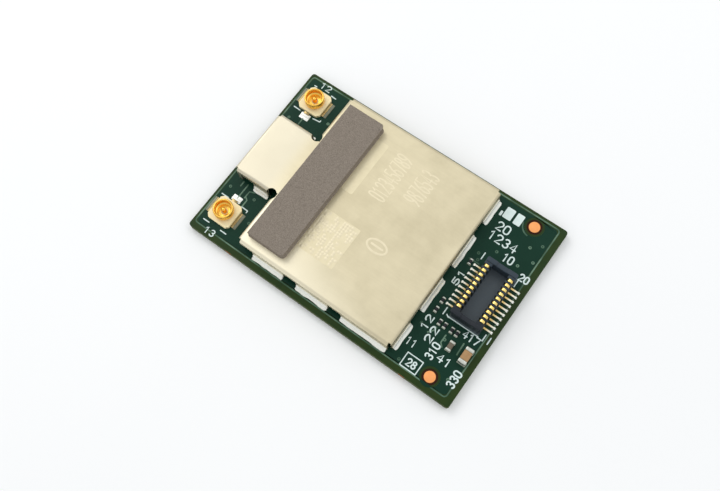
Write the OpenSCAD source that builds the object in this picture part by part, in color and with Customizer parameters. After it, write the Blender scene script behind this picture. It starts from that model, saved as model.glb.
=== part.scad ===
// Wireless network module: a small circuit board with a folded shield can, a foam
// strip on the can, two miniature coaxial sockets and a board-to-board connector.
// Millimetres. Origin at the middle of the board's underside, +Z up, +X towards the
// board-to-board connector, +Y towards the far long edge.

/* [Circuit board] */
// Length of the board along X
board_l = 30; // [29:0.5:36]
// Width of the board along Y
board_w = 20; // [19.5:0.5:26]
// Thickness of the laminate
board_t = 0.8; // [0.6:0.1:1.6]
// Radius of the board's corners
board_corner_r = 0.3; // [0.1:0.1:0.8]
// Thickness of the solder mask, the depth of its openings
mask_t = 0.04; // [0.02:0.01:0.06]

/* [Fiducial marks] */
// Diameter of the bare copper disc
fiducial_d = 1.08; // [0.8:0.02:1.2]
// Diameter of the opening in the solder mask
fiducial_opening_d = 1.5; // [1.3:0.1:1.8]
// Thickness of the copper
copper_t = 0.035; // [0.02:0.005:0.04]
// Distance of the discs from the connector end of the board
fiducial_edge_x = 2.85; // [2:0.05:3.2]
// Distance of the discs from the long edges
fiducial_edge_y = 1.38; // [1.2:0.02:1.8]

/* [Shield can] */
// Height of the can above the board
can_h = 1.8; // [1.7:0.1:2.6]
// Thickness of the sheet
can_sheet = 0.2; // [0.1:0.05:0.25]
// Outer radius of the bends
can_bend_r = 0.35; // [0.3:0.05:0.5]
// Bare board left for the coaxial sockets, from the board's end to the can
can_socket_zone = 5.5; // [5.2:0.1:5.8]
// Bare board left for the connector, from the board's end to the can
can_connector_zone = 7; // [6.8:0.1:7.3]
// Bare board along the far long edge
can_far_margin = 0.7; // [0.5:0.05:0.9]
// Bare board along the near long edge
can_near_margin = 1.15; // [0.8:0.05:1.3]
// Width of the tongue between the sockets
tongue_w = 7.25; // [6.8:0.05:7.4]
// Offset of the tongue's middle towards the far edge
tongue_offset_y = 0.275; // [0:0.025:0.3]
// Bare board between the tongue and the end of the board
tongue_margin = 0.7; // [0.4:0.05:1.2]
// Radius of the round bend reliefs at the tongue's roots
relief_r = 0.55; // [0.4:0.05:0.6]
// Distance of a relief's middle from the can's wall, towards the tongue
relief_shift = 0.2; // [0:0.05:0.3]
// Height of the windows between the feet
window_h = 1.1; // [0.5:0.1:1.2]
// Width of the windows
window_w = 1.45; // [1:0.05:2]
// Spacing of the windows
window_pitch = 5.15; // [4.4:0.05:5.2]
// Number of windows along each wall of the can's main part
window_count = 3; // [1:1:3]
// Offset of the long walls' windows towards the sockets
long_window_shift = 2.65; // [1.5:0.05:2.7]
// Distance from the tongue's end to the middle of its windows
tongue_window_inset = 1.5; // [1.3:0.05:2.6]

/* [Shield solder] */
// Width of the solder fillet on the board
fillet_w = 0.4; // [0.2:0.05:0.45]
// Height of the solder fillet on the wall
fillet_h = 0.5; // [0.3:0.05:0.7]
// Length of each foot that the solder leaves bare at its ends
fillet_end = 0.05; // [0.02:0.01:0.2]

/* [Foam strip] */
// Length of the strip across the can
foam_l = 16.1; // [12:0.1:16.5]
// Width of the strip
foam_w = 4.15; // [3:0.05:5]
// Thickness of the strip
foam_t = 0.9; // [0.5:0.1:1.5]
// Distance from the can's socket side to the strip
foam_inset_x = 0.7; // [0.5:0.05:2]
// Distance from the can's near side to the strip
foam_inset_y = 0.95; // [0.5:0.05:1.2]
// Radius of the two corners on the strip's connector side
foam_corner_r = 0.4; // [0.1:0.1:1]

/* [Coaxial sockets] */
// Distance of both sockets' axes from the end of the board
socket_edge_x = 2.25; // [2.1:0.05:2.6]
// Distance of the far socket's axis from the far edge
far_socket_edge_y = 2.65; // [1.8:0.05:2.8]
// Distance of the near socket's axis from the near edge
near_socket_edge_y = 2.95; // [1.8:0.05:3.1]
// Side of the square moulded base
socket_base_w = 2.6; // [2.5:0.05:2.8]
// Height of the moulded base
socket_base_h = 0.35; // [0.3:0.05:0.45]
// Corner cut on the base
socket_corner_cut = 0.3; // [0.1:0.05:0.4]
// Height of the socket above the board
socket_h = 1.25; // [1.1:0.05:1.6]
// Outer diameter of the barrel
barrel_d = 2; // [1.8:0.05:2.1]
// Wall of the barrel
barrel_wall = 0.2; // [0.18:0.01:0.25]
// Depth of the snap neck that the barrel's wall is drawn in to
snap_depth = 0.16; // [0.16:0.01:0.2]
// Height of the snap neck above the base
snap_h = 0.25; // [0.1:0.05:0.35]
// Depth that the barrel is moulded into the base
barrel_seat = 0.12; // [0.05:0.01:0.2]
// Thickness of the contact strips under the base
socket_strip_t = 0.12; // [0.08:0.01:0.15]
// Width of the two ground tabs
ground_tab_w = 1.7; // [1.2:0.1:2]
// Width of the signal tab
signal_tab_w = 0.6; // [0.4:0.05:0.8]
// Length of a tab beyond the base
tab_reach = 0.28; // [0.2:0.01:0.4]
// Diameter of the centre pin
centre_pin_d = 0.45; // [0.3:0.05:0.5]
// Distance of the centre pin's tip below the barrel's rim
centre_pin_drop = 0.2; // [0.1:0.05:0.4]
// Length of the solder beyond a tab
tab_solder_l = 0.3; // [0.2:0.05:0.4]
// Solder at the side of the signal tab
tab_solder_side = 0.2; // [0:0.05:0.3]

/* [Board-to-board connector] */
// Distance of the connector's middle from the end of the board
conn_edge_x = 3; // [2.6:0.05:3.2]
// Offset of the connector's middle towards the far edge
conn_offset_y = 0.075; // [-0.5:0.025:0.5]
// Contacts in each of the two rows
contact_count = 10; // [4:1:12]
// Spacing of the contacts
contact_pitch = 0.5; // [0.45:0.05:0.6]
// Width of a contact
contact_w = 0.25; // [0.2:0.01:0.3]
// Thickness of a contact's strip
contact_t = 0.1; // [0.08:0.01:0.12]
// Width of the housing
conn_w = 3.2; // [3:0.05:3.4]
// Height of the housing's end blocks above the board
conn_h = 1.9; // [1.6:0.05:3]
// Length of the housing beyond the last contact's middle
conn_end = 0.9; // [0.7:0.05:1.2]
// Width of the open trough
trough_w = 1.7; // [1.4:0.05:1.9]
// Floor of the trough above the board
trough_floor = 0.45; // [0.3:0.05:0.8]
// Length of a solid end block
end_block = 0.45; // [0.3:0.05:0.5]
// Depth of the long walls' tops below the end blocks
wall_drop = 0.1; // [0.05:0.01:0.2]
// Width of the plastic rib inside each contact
rib_w = 0.4; // [0.3:0.02:0.46]
// Distance from the outer face to the contact's outer leg
leg_recess = 0.06; // [0.02:0.01:0.1]
// Side clearance of a contact in its slot
slot_clear = 0.02; // [0.01:0.005:0.04]
// Clearance between a contact and its rib
seat_clear = 0.01; // [0.005:0.005:0.02]
// Reach of the tails beyond the housing
tail_reach = 0.72; // [0.5:0.02:0.9]
// Length of the solder on each tail's land
tail_solder_l = 0.2; // [0.1:0.05:0.3]

/* [Chips beside the connector] */
// Length of the large capacitor
big_cap_l = 1.6; // [1.4:0.1:2]
// Width of the large capacitor
big_cap_w = 0.8; // [0.7:0.05:1]
// Height of the large capacitor
big_cap_h = 0.8; // [0.5:0.05:1]
// Distance of the large capacitor from the end of the board
big_cap_edge_x = 1.26; // [1:0.02:1.5]
// Gap between the connector and the large capacitor
big_cap_gap = 1.45; // [1.3:0.05:1.8]
// Length of the supply resistor
small_chip_l = 1; // [0.9:0.05:1.1]
// Width of the supply resistor
small_chip_w = 0.5; // [0.4:0.05:0.6]
// Height of the supply resistor
small_chip_h = 0.35; // [0.3:0.05:0.6]
// Gap between the large capacitor and the supply resistor
supply_gap = 1; // [0.5:0.05:1.2]
// Length of a signal resistor
tiny_l = 0.6; // [0.5:0.02:0.62]
// Width of a signal resistor
tiny_w = 0.3; // [0.2:0.02:0.32]
// Height of a signal resistor
tiny_h = 0.23; // [0.2:0.01:0.3]
// Gap between the connector and the row of signal resistors
signal_gap = 0.65; // [0.5:0.05:0.8]
// Spacing of the signal resistors within a pair
signal_pitch = 0.55; // [0.45:0.05:0.65]
// Spacing of the two pairs of signal resistors
signal_pair_pitch = 1.3; // [1.25:0.05:1.5]
// Offset of the signal resistors' row from the connector's middle towards the can
signal_shift = 0.98; // [0.8:0.02:1.1]
// Spacing of the two signal resistors beside the connector's last contacts
side_pitch = 1.05; // [0.9:0.05:1.2]
// Gap between the can's solder and the signal resistors beside the connector
side_gap = 0.6; // [0.3:0.05:0.7]

/* [Chips under the can] */
// Side of the radio chip
radio_w = 7; // [5:0.1:7.8]
// Height of the radio chip
radio_h = 0.9; // [0.6:0.05:1.3]
// Offset of the radio chip from the can's middle towards the connector
radio_offset_x = 1.75; // [1.5:0.05:2]
// Gap between the radio chip and the parts round it
part_gap = 0.4; // [0.2:0.05:0.5]
// Gap between the can's walls and the parts beside them
wall_gap = 0.4; // [0.1:0.05:0.6]
// Side of a front-end chip
front_end_w = 3; // [2:0.1:3.2]
// Height of a front-end chip
front_end_h = 0.75; // [0.5:0.05:1]
// Spacing of the two front-end chips
front_end_pitch = 8.4; // [6:0.1:9]
// Length of the memory chip
memory_l = 3; // [2:0.1:3.4]
// Width of the memory chip
memory_w = 2; // [1.5:0.1:2.3]
// Height of the memory chip
memory_h = 0.6; // [0.4:0.05:0.9]
// Length of the crystal
crystal_l = 2.5; // [2:0.1:3.2]
// Width of the crystal
crystal_w = 2; // [1.6:0.1:2.2]
// Height of the crystal's base
crystal_h = 0.5; // [0.3:0.05:0.7]
// Thickness of the crystal's lid
crystal_lid_t = 0.1; // [0.05:0.01:0.15]
// Bare rim round the crystal's lid
crystal_rim = 0.15; // [0.1:0.01:0.2]
// Side of the power regulator
regulator_w = 2; // [1.6:0.1:2.4]
// Height of the power regulator
regulator_h = 0.75; // [0.5:0.05:1]
// Length of the power inductor
inductor_l = 2.5; // [2:0.1:3]
// Width of the power inductor
inductor_w = 2; // [1.6:0.1:2.4]
// Height of the power inductor
inductor_h = 1.2; // [0.8:0.05:1.3]
// Length of an antenna filter
filter_l = 2; // [1.6:0.1:2.4]
// Width of an antenna filter
filter_w = 1.25; // [0.8:0.05:1.5]
// Height of an antenna filter
filter_h = 0.7; // [0.5:0.05:1]
// Spacing of the two antenna filters
filter_pitch = 3.6; // [2.4:0.1:4.2]
// Capacitors in each row along the radio chip
row_count = 5; // [3:1:6]
// Spacing of the capacitors along the radio chip
row_pitch = 1.2; // [1:0.1:1.3]

/* [Hidden] */
// Every separate piece of the module
$fn = 48;

// Overshoot of every cut, so that no cut ends flush with a face
over = 0.5;

// The board's edges and top
x_conn_end = board_l / 2;
x_socket_end = -board_l / 2;
y_far = board_w / 2;
y_near = -board_w / 2;
top = board_t;

// The can's outer faces
can_x1 = x_conn_end - can_connector_zone;
can_x0 = x_socket_end + can_socket_zone;
can_y1 = y_far - can_far_margin;
can_y0 = y_near + can_near_margin;
can_mid_x = (can_x0 + can_x1) / 2;
can_mid_y = (can_y0 + can_y1) / 2;
tongue_x0 = x_socket_end + tongue_margin;
tongue_y0 = tongue_offset_y - tongue_w / 2;
tongue_y1 = tongue_offset_y + tongue_w / 2;
relief_x = can_x0 - relief_shift;

// Middles of the windows, measured along each wall
end_window_ys = [for (i = [0 : window_count - 1]) (i - (window_count - 1) / 2) * window_pitch];
long_window_xs = [for (i = [0 : window_count - 1])
    can_mid_x - long_window_shift + (i - (window_count - 1) / 2) * window_pitch];
tongue_window_x = tongue_x0 + tongue_window_inset;
tongue_mid_x = (tongue_x0 + relief_x) / 2;

// The sockets' axes
socket_x = x_socket_end + socket_edge_x;
far_socket_y = y_far - far_socket_edge_y;
near_socket_y = y_near + near_socket_edge_y;
barrel_r = barrel_d / 2;
barrel_bore_r = barrel_r - barrel_wall;
neck_r = barrel_r - snap_depth;
neck_bore_r = neck_r - barrel_wall;
tab_end = socket_base_w / 2 + tab_reach;

// The connector's middle and its wall
conn_x = x_conn_end - conn_edge_x;
conn_y = conn_offset_y;
contact_span = (contact_count - 1) * contact_pitch;
conn_l = contact_span + 2 * conn_end;
conn_wall = (conn_w - trough_w) / 2;
rib_out = conn_wall - leg_recess - contact_t - seat_clear;
rib_in = rib_out - rib_w;
rib_mid = (rib_in + rib_out) / 2;
arch_r = rib_w / 2 + seat_clear;
arch_z = conn_h - arch_r - contact_t;
tail_bend_r = contact_t;

// The radio chip's middle, from which the parts round it are placed
radio_x = can_mid_x + radio_offset_x;
radio_y = can_mid_y;
upper_row_y = radio_y + radio_w / 2 + part_gap + small_chip_l / 2;
lower_row_y = radio_y - radio_w / 2 - part_gap - small_chip_l / 2;
front_end_x = radio_x - radio_w / 2 - part_gap - front_end_w / 2;

// Where the parts beside the can's walls end
wall_x0 = can_x0 + can_sheet + wall_gap;
wall_x1 = can_x1 - can_sheet - wall_gap;
wall_y0 = can_y0 + can_sheet + wall_gap;
wall_y1 = can_y1 - can_sheet - wall_gap;

// Places of the small chips: x, y, quarter turns
row_xs = [for (i = [0 : row_count - 1]) radio_x + (i - (row_count - 1) / 2) * row_pitch];
capacitor_places = concat(
    [for (x = row_xs) [x, upper_row_y, 1]],
    [for (x = row_xs) [x, lower_row_y, 1]],
    [for (y = [-1 : 1]) [wall_x0 + small_chip_l / 2, radio_y + y * row_pitch, 0]]
);
resistor_places = [for (x = row_xs) [wall_x1 - small_chip_l / 2, radio_y + x - radio_x, 0]];
signal_y = conn_y - conn_l / 2 - signal_gap - tiny_l / 2;
side_x = can_x1 + fillet_w + side_gap + tiny_w / 2;
side_ys = [contact_span / 2, -contact_span / 2, -contact_span / 2 - side_pitch];
signal_places = concat(
    [for (pair = [-1, 1], one = [-0.5, 0.5])
        [conn_x - signal_shift + pair * signal_pair_pitch / 2 + one * signal_pitch, signal_y, 1]],
    [for (y = side_ys) [side_x, conn_y + y, 1]]
);
big_cap_x = x_conn_end - big_cap_edge_x;
big_cap_y = conn_y - conn_l / 2 - big_cap_gap - big_cap_l / 2;
supply_x = big_cap_x - big_cap_w / 2 - supply_gap - small_chip_w / 2;

// Share of a chip's length that each metal end takes
chip_end_share = 0.22;
// Step from a chip's metal end down to its body
chip_step = 0.015;

mask_green = [0.07, 0.24, 0.17];
copper = [0.95, 0.62, 0.38];
can_metal = [0.85, 0.80, 0.68];
solder_metal = [0.88, 0.88, 0.85];
foam_grey = [0.52, 0.48, 0.44];
ivory = [0.93, 0.88, 0.76];
gold = [0.90, 0.68, 0.22];
housing_black = [0.13, 0.14, 0.18];
ceramic_tan = [0.72, 0.50, 0.28];
ceramic_brown = [0.42, 0.36, 0.30];
chip_black = [0.08, 0.08, 0.09];
tin = [0.80, 0.80, 0.78];

// A box centred on x and y that stands on z = 0
module standing_box(l, w, h) {
    translate([-l / 2, -w / 2, 0])
        cube([l, w, h]);
}

// A rectangle centred on the origin with rounded corners
module round_rect(l, w, r) {
    for (x = [-1, 1], y = [-1, 1])
        translate([x * (l / 2 - r), y * (w / 2 - r)])
            circle(r);
    square([l - 2 * r, w], center = true);
    square([l, w - 2 * r], center = true);
}

// Sets a part on the board's top
module on_board(x, y, turn = 0) {
    translate([x, y, top])
        rotate(turn)
            children();
}

/* ---- circuit board ---- */

module at_fiducials() {
    for (y = [y_near + fiducial_edge_y, y_far - fiducial_edge_y])
        translate([x_conn_end - fiducial_edge_x, y, top - mask_t])
            children();
}

module circuit_board() {
    color(mask_green)
        difference() {
            linear_extrude(board_t)
                round_rect(board_l, board_w, board_corner_r);
            at_fiducials()
                cylinder(h = mask_t + over, d = fiducial_opening_d);
        }
}

module fiducial_marks() {
    color(copper)
        at_fiducials()
            cylinder(h = copper_t, d = fiducial_d);
}

/* ---- shield can ---- */

// Section of a wall and its bend: the outer face on x = 0, the lid towards -x
module wall_section() {
    translate([-can_sheet, 0])
        square([can_sheet, can_h - can_bend_r]);
    translate([-can_bend_r, can_h - can_bend_r])
        intersection() {
            difference() {
                circle(can_bend_r);
                circle(can_bend_r - can_sheet);
            }
            square(can_bend_r);
        }
}

// A wall whose outer face looks along the turn, with its middle at x, y
module folded_wall(x, y, turn, length) {
    on_board(x, y, turn)
        rotate([90, 0, 0])
            translate([0, 0, -length / 2])
                linear_extrude(length)
                    wall_section();
}

module lid_outline() {
    translate([can_x0 + can_bend_r, can_y0 + can_bend_r])
        square([can_x1 - can_x0 - 2 * can_bend_r, can_y1 - can_y0 - 2 * can_bend_r]);
    translate([tongue_x0 + can_bend_r, tongue_y0 + can_bend_r])
        square([can_x0 - tongue_x0, tongue_w - 2 * can_bend_r]);
}

module can_walls() {
    main_l = can_x1 - can_x0 - 2 * can_bend_r;
    main_w = can_y1 - can_y0 - 2 * can_bend_r;
    tongue_l = relief_x - tongue_x0 - can_bend_r;
    far_step = can_y1 - can_bend_r - tongue_y1;
    near_step = tongue_y0 - can_y0 - can_bend_r;
    folded_wall(can_x1, can_mid_y, 0, main_w);
    folded_wall(can_mid_x, can_y1, 90, main_l);
    folded_wall(can_mid_x, can_y0, 270, main_l);
    folded_wall(can_x0, tongue_y1 + far_step / 2, 180, far_step);
    folded_wall(can_x0, tongue_y0 - near_step / 2, 180, near_step);
    folded_wall(tongue_x0, tongue_offset_y, 180, tongue_w - 2 * can_bend_r);
    for (side = [[tongue_y1, 90], [tongue_y0, 270]])
        folded_wall(relief_x - tongue_l / 2, side[0], side[1], tongue_l);
}

// The openings between the feet, cut up from the board
module can_windows() {
    for (y = end_window_ys)
        window_cut(can_x1, can_mid_y + y, 0);
    for (x = long_window_xs) {
        window_cut(x, can_y1, 90);
        window_cut(x, can_y0, 270);
    }
    window_cut(tongue_window_x, tongue_y1, 90);
    window_cut(tongue_window_x, tongue_y0, 270);
    window_cut(tongue_x0, tongue_offset_y, 180);
}

// A window through a wall whose outer face looks along the turn
module window_cut(x, y, turn) {
    inward = (can_sheet + can_bend_r) / 2;
    on_board(x, y, turn)
        translate([-inward, -window_w / 2, -over])
            cube([inward + over, window_w, window_h + over]);
}

module shield_can() {
    color(can_metal)
        difference() {
            union() {
                translate([0, 0, top + can_h - can_sheet])
                    linear_extrude(can_sheet)
                        lid_outline();
                can_walls();
            }
            can_windows();
            for (y = [tongue_y0, tongue_y1])
                translate([relief_x, y, top - over])
                    cylinder(h = can_h + 2 * over, r = relief_r);
        }
}

/* ---- solder along the can's feet ---- */

// Section of a fillet: the wall on x = 0, the board on y = 0
module fillet_section() {
    foot = fillet_w / 6;
    polygon([
        [0, 0], [fillet_w, 0], [fillet_w - foot / 2, foot],
        [fillet_w * 0.4, fillet_h * 0.35], [foot, fillet_h], [0, fillet_h]
    ]);
}

// A fillet along a wall, from one end of a foot to the other
module fillet(x, y, turn, length) {
    on_board(x, y, turn)
        rotate([90, 0, 0])
            translate([0, 0, -length / 2])
                linear_extrude(length)
                    fillet_section();
}

// The soldered stretches between a wall's windows: the middle and length of each
function feet(mids, first, last) = [
    for (i = [0 : len(mids)])
        let (from = (i == 0 ? first : mids[i - 1] + window_w / 2) + fillet_end)
        let (to = (i == len(mids) ? last : mids[i] - window_w / 2) - fillet_end)
        if (to - from > fillet_w)
            [(from + to) / 2, to - from]
];

module shield_solder() {
    corner = can_bend_r;
    end_feet = feet([for (y = end_window_ys) can_mid_y + y], can_y0 + corner, can_y1 - corner);
    long_feet = feet(long_window_xs, can_x0 + corner, can_x1 - corner);
    tongue_feet = feet([tongue_window_x], tongue_x0 + corner, relief_x - relief_r);
    color(solder_metal) {
        for (foot = end_feet)
            fillet(can_x1, foot[0], 0, foot[1]);
        for (foot = long_feet) {
            fillet(foot[0], can_y1, 90, foot[1]);
            fillet(foot[0], can_y0, 270, foot[1]);
        }
        for (foot = tongue_feet) {
            fillet(foot[0], tongue_y1, 90, foot[1]);
            fillet(foot[0], tongue_y0, 270, foot[1]);
        }
    }
}

/* ---- foam strip ---- */

module foam_strip() {
    x0 = can_x0 + foam_inset_x;
    y0 = can_y0 + foam_inset_y;
    color(foam_grey)
        translate([x0, y0, top + can_h])
            linear_extrude(foam_t) {
                square([foam_w - foam_corner_r, foam_l]);
                translate([0, foam_corner_r])
                    square([foam_w, foam_l - 2 * foam_corner_r]);
                for (y = [foam_corner_r, foam_l - foam_corner_r])
                    translate([foam_w - foam_corner_r, y])
                        circle(foam_corner_r);
            }
}

/* ---- coaxial sockets: the axis on the origin, the signal tab towards -y ---- */

// Moulded base, its corners cut, with seats for the barrel and the strips
module socket_base() {
    half = socket_base_w / 2;
    flat = half - socket_corner_cut;
    difference() {
        linear_extrude(socket_base_h)
            polygon([
                [half, -flat], [half, flat], [flat, half], [-flat, half],
                [-half, flat], [-half, -flat], [-flat, -half], [flat, -half]
            ]);
        translate([0, 0, socket_base_h - barrel_seat])
            difference() {
                cylinder(h = barrel_seat + over, r = neck_r);
                translate([0, 0, -over])
                    cylinder(h = barrel_seat + 3 * over, r = neck_bore_r);
            }
        socket_legs(over);
        signal_strip(over);
        cylinder(h = socket_base_h + over, d = centre_pin_d);
    }
}

// The two ground legs, down from the barrel and out over the board
module socket_legs(extra = 0) {
    post_h = socket_base_h - barrel_seat;
    for (side = [0, 180])
        rotate(side) {
            translate([neck_bore_r, -signal_tab_w / 2, -extra])
                cube([barrel_wall, signal_tab_w, post_h + extra]);
            translate([neck_bore_r, -ground_tab_w / 2, -extra])
                cube([tab_end - neck_bore_r + extra, ground_tab_w, socket_strip_t + extra]);
        }
}

// The signal strip, from under the pin out to its tab
module signal_strip(extra = 0) {
    translate([-signal_tab_w / 2, -tab_end - extra, -extra])
        cube([signal_tab_w, tab_end + centre_pin_d / 2 + extra, socket_strip_t + extra]);
}

// Drawn barrel with a rounded rim, its wall drawn in to a neck that the plug snaps round
module socket_shell() {
    seat_z = socket_base_h - barrel_seat;
    rim = barrel_wall / 2;
    neck_h = socket_base_h + snap_h;
    rotate_extrude($fn = 96) {
        translate([neck_bore_r, seat_z])
            square([barrel_wall, neck_h + rim - seat_z]);
        translate([barrel_bore_r, neck_h])
            square([barrel_wall, socket_h - rim - neck_h]);
        translate([barrel_bore_r + rim, socket_h - rim])
            circle(rim, $fn = 24);
    }
    socket_legs();
}

module socket_pin() {
    tip = centre_pin_d / 4;
    pin_top = socket_h - centre_pin_drop;
    rotate_extrude()
        polygon([
            [0, 0], [centre_pin_d / 2, 0], [centre_pin_d / 2, pin_top - tip],
            [centre_pin_d / 2 - tip, pin_top], [0, pin_top]
        ]);
    signal_strip();
}

// Solder at the ends of the three tabs of one socket
module socket_tab_solder() {
    signal_w = signal_tab_w + 2 * tab_solder_side;
    for (side = [0, 180])
        rotate(side)
            solder_wedge(ground_tab_w);
    rotate(-90)
        solder_wedge(signal_w);
}

module solder_wedge(w) {
    translate([tab_end, w / 2, 0])
        rotate([90, 0, 0])
            linear_extrude(w)
                polygon([
                    [0, 0], [tab_solder_l, 0], [tab_solder_l * 0.8, socket_strip_t * 0.6],
                    [0, socket_strip_t]
                ]);
}

// The far socket's signal tab points to the tongue, and the near one is its mirror image
module at_far_socket() {
    on_board(socket_x, far_socket_y)
        children();
}

module at_near_socket() {
    on_board(socket_x, near_socket_y)
        mirror([0, 1, 0])
            children();
}

module far_socket_base() {
    color(ivory)
        at_far_socket()
            socket_base();
}

module far_socket_shell() {
    color(gold)
        at_far_socket()
            socket_shell();
}

module far_socket_pin() {
    color(gold)
        at_far_socket()
            socket_pin();
}

module near_socket_base() {
    color(ivory)
        at_near_socket()
            socket_base();
}

module near_socket_shell() {
    color(gold)
        at_near_socket()
            socket_shell();
}

module near_socket_pin() {
    color(gold)
        at_near_socket()
            socket_pin();
}

module socket_solder() {
    color(solder_metal) {
        at_far_socket()
            socket_tab_solder();
        at_near_socket()
            socket_tab_solder();
    }
}

/* ---- board-to-board connector: its middle on the origin, the rows along y ---- */

// Stands a section drawn across one long wall at each contact: x from the trough outwards, y up
module at_contacts(side, w) {
    for (i = [0 : contact_count - 1])
        translate([0, (i - (contact_count - 1) / 2) * contact_pitch, 0])
            rotate(side > 0 ? 0 : 180)
                translate([trough_w / 2, w / 2, 0])
                    rotate([90, 0, 0])
                        linear_extrude(w)
                            children();
}

// The plastic rib that a contact is bent over
module rib_section() {
    translate([rib_in, trough_floor - over])
        square([rib_w, arch_z - trough_floor + over]);
    translate([rib_mid, arch_z])
        circle(rib_w / 2);
}

// What a contact's slot takes out of the wall
module slot_section() {
    difference() {
        translate([-over, trough_floor])
            square([conn_wall + 2 * over, conn_h + over]);
        rib_section();
    }
    translate([rib_out, -over])
        square([conn_wall + over - rib_out, trough_floor + 2 * over]);
}

module contact_section() {
    inner = rib_in - seat_clear - contact_t;
    outer = rib_out + seat_clear;
    difference() {
        union() {
            translate([rib_mid, arch_z])
                circle(arch_r + contact_t);
            translate([inner, trough_floor])
                square([2 * (arch_r + contact_t), arch_z - trough_floor]);
        }
        translate([rib_mid, arch_z])
            circle(arch_r);
        translate([inner + contact_t, trough_floor - over])
            square([2 * arch_r, arch_z - trough_floor + over]);
    }
    translate([outer, contact_t + tail_bend_r])
        square([contact_t, trough_floor]);
    translate([outer + contact_t + tail_bend_r, contact_t + tail_bend_r])
        intersection() {
            difference() {
                circle(contact_t + tail_bend_r);
                circle(tail_bend_r);
            }
            translate([-contact_t - tail_bend_r, -contact_t - tail_bend_r])
                square(contact_t + tail_bend_r);
        }
    tail_x = outer + contact_t + tail_bend_r;
    translate([tail_x, 0])
        square([conn_wall + tail_reach - tail_x, contact_t]);
}

module connector_housing() {
    inner_l = conn_l - 2 * end_block;
    key_w = trough_w * 0.65;
    color(housing_black)
        on_board(conn_x, conn_y)
            difference() {
                linear_extrude(conn_h)
                    round_rect(conn_w, conn_l, end_block / 3);
                translate([0, 0, trough_floor])
                    standing_box(trough_w, inner_l, conn_h);
                translate([0, 0, conn_h - wall_drop])
                    standing_box(conn_w + over, inner_l, wall_drop + over);
                for (end = [-1, 1])
                    translate([0, end * (conn_l - end_block) / 2, conn_h - wall_drop])
                        standing_box(key_w, end_block + over, wall_drop + over);
                for (side = [-1, 1])
                    at_contacts(side, contact_w + 2 * slot_clear)
                        slot_section();
            }
}

module contacts_inboard() {
    color(gold)
        on_board(conn_x, conn_y)
            at_contacts(-1, contact_w)
                contact_section();
}

module contacts_outboard() {
    color(gold)
        on_board(conn_x, conn_y)
            at_contacts(1, contact_w)
                contact_section();
}

module connector_solder() {
    tail_end = conn_wall + tail_reach;
    color(solder_metal)
        on_board(conn_x, conn_y)
            for (side = [-1, 1])
                at_contacts(side, contact_w)
                    polygon([
                        [tail_end, 0], [tail_end + tail_solder_l, 0],
                        [tail_end + tail_solder_l * 0.6, contact_t * 0.5], [tail_end, contact_t]
                    ]);
}

/* ---- small two-ended chips ---- */

// The body of a chip, between its metal ends
module chip_body(l, w, h) {
    end = l * chip_end_share;
    standing_box(l - 2 * end, w - 2 * chip_step, h - chip_step);
}

// The two metal ends of a chip
module chip_ends(l, w, h) {
    end = l * chip_end_share;
    for (side = [-1, 1])
        translate([side * (l - end) / 2, 0, 0])
            standing_box(end, w, h);
}

module at_places(places) {
    for (place = places)
        on_board(place[0], place[1], place[2] * 90)
            children();
}

module large_capacitor() {
    color(ceramic_tan)
        on_board(big_cap_x, big_cap_y, 90)
            chip_body(big_cap_l, big_cap_w, big_cap_h);
}

module large_capacitor_ends() {
    color(tin)
        on_board(big_cap_x, big_cap_y, 90)
            chip_ends(big_cap_l, big_cap_w, big_cap_h);
}

module supply_resistor() {
    color(ceramic_brown)
        on_board(supply_x, big_cap_y, 90)
            chip_body(small_chip_l, small_chip_w, small_chip_h);
}

module supply_resistor_ends() {
    color(tin)
        on_board(supply_x, big_cap_y, 90)
            chip_ends(small_chip_l, small_chip_w, small_chip_h);
}

module signal_resistors() {
    color(chip_black)
        at_places(signal_places)
            chip_body(tiny_l, tiny_w, tiny_h);
}

module signal_resistor_ends() {
    color(tin)
        at_places(signal_places)
            chip_ends(tiny_l, tiny_w, tiny_h);
}

module filter_capacitors() {
    color(ceramic_brown)
        at_places(capacitor_places)
            chip_body(small_chip_l, small_chip_w, small_chip_h);
}

module filter_capacitor_ends() {
    color(tin)
        at_places(capacitor_places)
            chip_ends(small_chip_l, small_chip_w, small_chip_h);
}

module bias_resistors() {
    color(chip_black)
        at_places(resistor_places)
            chip_body(small_chip_l, small_chip_w, small_chip_h);
}

module bias_resistor_ends() {
    color(tin)
        at_places(resistor_places)
            chip_ends(small_chip_l, small_chip_w, small_chip_h);
}

/* ---- chips under the can ---- */

// A moulded package: a substrate and a slightly smaller cap
module package(l, w, h) {
    lip = 0.1;
    standing_box(l, w, h / 3);
    translate([0, 0, h / 3])
        standing_box(l - 2 * lip, w - 2 * lip, h * 2 / 3);
}

module radio_chip() {
    color(chip_black)
        on_board(radio_x, radio_y)
            package(radio_w, radio_w, radio_h);
}

module memory_chip() {
    color(chip_black)
        on_board(radio_x - radio_w / 4, wall_y1 - memory_w / 2)
            package(memory_l, memory_w, memory_h);
}

module front_end_chips() {
    color(chip_black)
        for (side = [-1, 1])
            on_board(front_end_x, radio_y + side * front_end_pitch / 2)
                package(front_end_w, front_end_w, front_end_h);
}

module at_crystal() {
    on_board(radio_x + radio_w / 4, wall_y1 - crystal_w / 2)
        children();
}

module reference_crystal() {
    color(ivory)
        at_crystal()
            standing_box(crystal_l, crystal_w, crystal_h);
}

module crystal_lid() {
    color(gold)
        at_crystal()
            translate([0, 0, crystal_h])
                standing_box(crystal_l - 2 * crystal_rim, crystal_w - 2 * crystal_rim, crystal_lid_t);
}

module power_regulator() {
    color(chip_black)
        on_board(radio_x + radio_w / 4, wall_y0 + regulator_w / 2)
            package(regulator_w, regulator_w, regulator_h);
}

module power_inductor() {
    color(ceramic_brown)
        on_board(radio_x - radio_w / 4, wall_y0 + inductor_w / 2)
            standing_box(inductor_l, inductor_w, inductor_h);
}

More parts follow.
